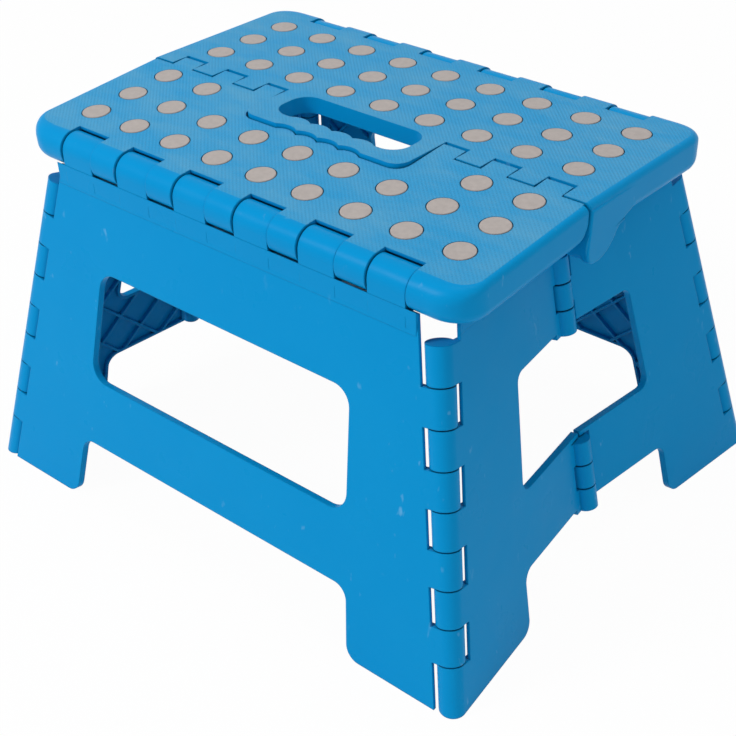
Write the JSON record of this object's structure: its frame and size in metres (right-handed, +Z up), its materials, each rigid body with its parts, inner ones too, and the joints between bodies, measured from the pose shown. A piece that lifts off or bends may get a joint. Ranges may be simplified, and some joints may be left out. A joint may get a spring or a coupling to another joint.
{
  "type": "folding step stool",
  "caption": "Folding plastic step stool: hinged two-part platform with carrying slot and soft grip pads, on splayed legs joined by side panels that fold inwards.",
  "frame": {"origin": "on the floor, under the middle of the platform", "axes": "+X along the platform, +Y from the front leg to the rear leg, +Z up"},
  "size_m": [0.3518, 0.2892, 0.2182],
  "materials": {
    "body_plastic": "fine moulded texture with a soft gloss",
    "grip_rubber": "matte",
    "pin_steel": "plain drawn wire"
  },
  "bodies": {
    "rear_leg": {"rear_leg": "body_plastic", "right_rear_corner_pin": "pin_steel", "left_rear_corner_pin": "pin_steel"},
    "rear_platform": {"rear_platform": "body_plastic", "rear_grip_pads": "grip_rubber", "rear_edge_pin": "pin_steel", "left_ridge_pin": "pin_steel", "right_ridge_pin": "pin_steel"},
    "front_platform": {"front_platform": "body_plastic", "front_grip_pads": "grip_rubber", "front_edge_pin": "pin_steel"},
    "front_leg": {"front_leg": "body_plastic", "right_front_corner_pin": "pin_steel", "left_front_corner_pin": "pin_steel"},
    "right_front_side": {"right_front_side": "body_plastic", "right_lower_middle_pin": "pin_steel", "right_upper_middle_studs": "pin_steel"},
    "right_rear_side": {"right_rear_side": "body_plastic"},
    "left_rear_side": {"left_rear_side": "body_plastic", "left_lower_middle_pin": "pin_steel", "left_upper_middle_studs": "pin_steel"},
    "left_front_side": {"left_front_side": "body_plastic"}
  },
  "joints": [
    {"name": "ridge_fold", "type": "hinge", "parent": "rear_platform", "child": "front_platform", "pos_m": [0, 0, 0.195], "axis": [1, 0, 0], "range_deg": [0, 162]},
    {"name": "rear_leg_fold", "type": "hinge", "parent": "rear_leg", "child": "rear_platform", "pos_m": [0, 0.09706, 0.20362], "axis": [-1, 0, 0], "range_deg": [0, 72.14]},
    {"name": "front_leg_fold", "type": "hinge", "parent": "front_platform", "child": "front_leg", "pos_m": [0, -0.09706, 0.20362], "axis": [-1, 0, 0], "range_deg": [0, 72.14]},
    {"name": "right_front_fold", "type": "hinge", "parent": "front_leg", "child": "right_front_side", "pos_m": [0.169, -0.13775, -0.00142], "axis": [-0.1961, 0.1996, 0.9601], "range_deg": [0, 75.91]},
    {"name": "left_front_fold", "type": "hinge", "parent": "front_leg", "child": "left_front_side", "pos_m": [-0.169, -0.13775, -0.00142], "axis": [-0.1961, -0.1996, -0.9601], "range_deg": [0, 75.91]},
    {"name": "right_rear_fold", "type": "hinge", "parent": "rear_leg", "child": "right_rear_side", "pos_m": [0.169, 0.13775, -0.00142], "axis": [0.1961, 0.1996, -0.9601], "range_deg": [0, 75.91]},
    {"name": "left_rear_fold", "type": "hinge", "parent": "rear_leg", "child": "left_rear_side", "pos_m": [-0.169, 0.13775, -0.00142], "axis": [0.1961, -0.1996, 0.9601], "range_deg": [0, 75.91]}
  ],
  "couplings": [
    {"joint": "rear_leg_fold", "follows": "ridge_fold", "ratio": 0.4447},
    {"joint": "front_leg_fold", "follows": "ridge_fold", "ratio": 0.4447},
    {"joint": "right_front_fold", "follows": "ridge_fold", "ratio": 0.46795},
    {"joint": "left_front_fold", "follows": "ridge_fold", "ratio": 0.46795},
    {"joint": "right_rear_fold", "follows": "ridge_fold", "ratio": 0.46795},
    {"joint": "left_rear_fold", "follows": "ridge_fold", "ratio": 0.46795}
  ]
}
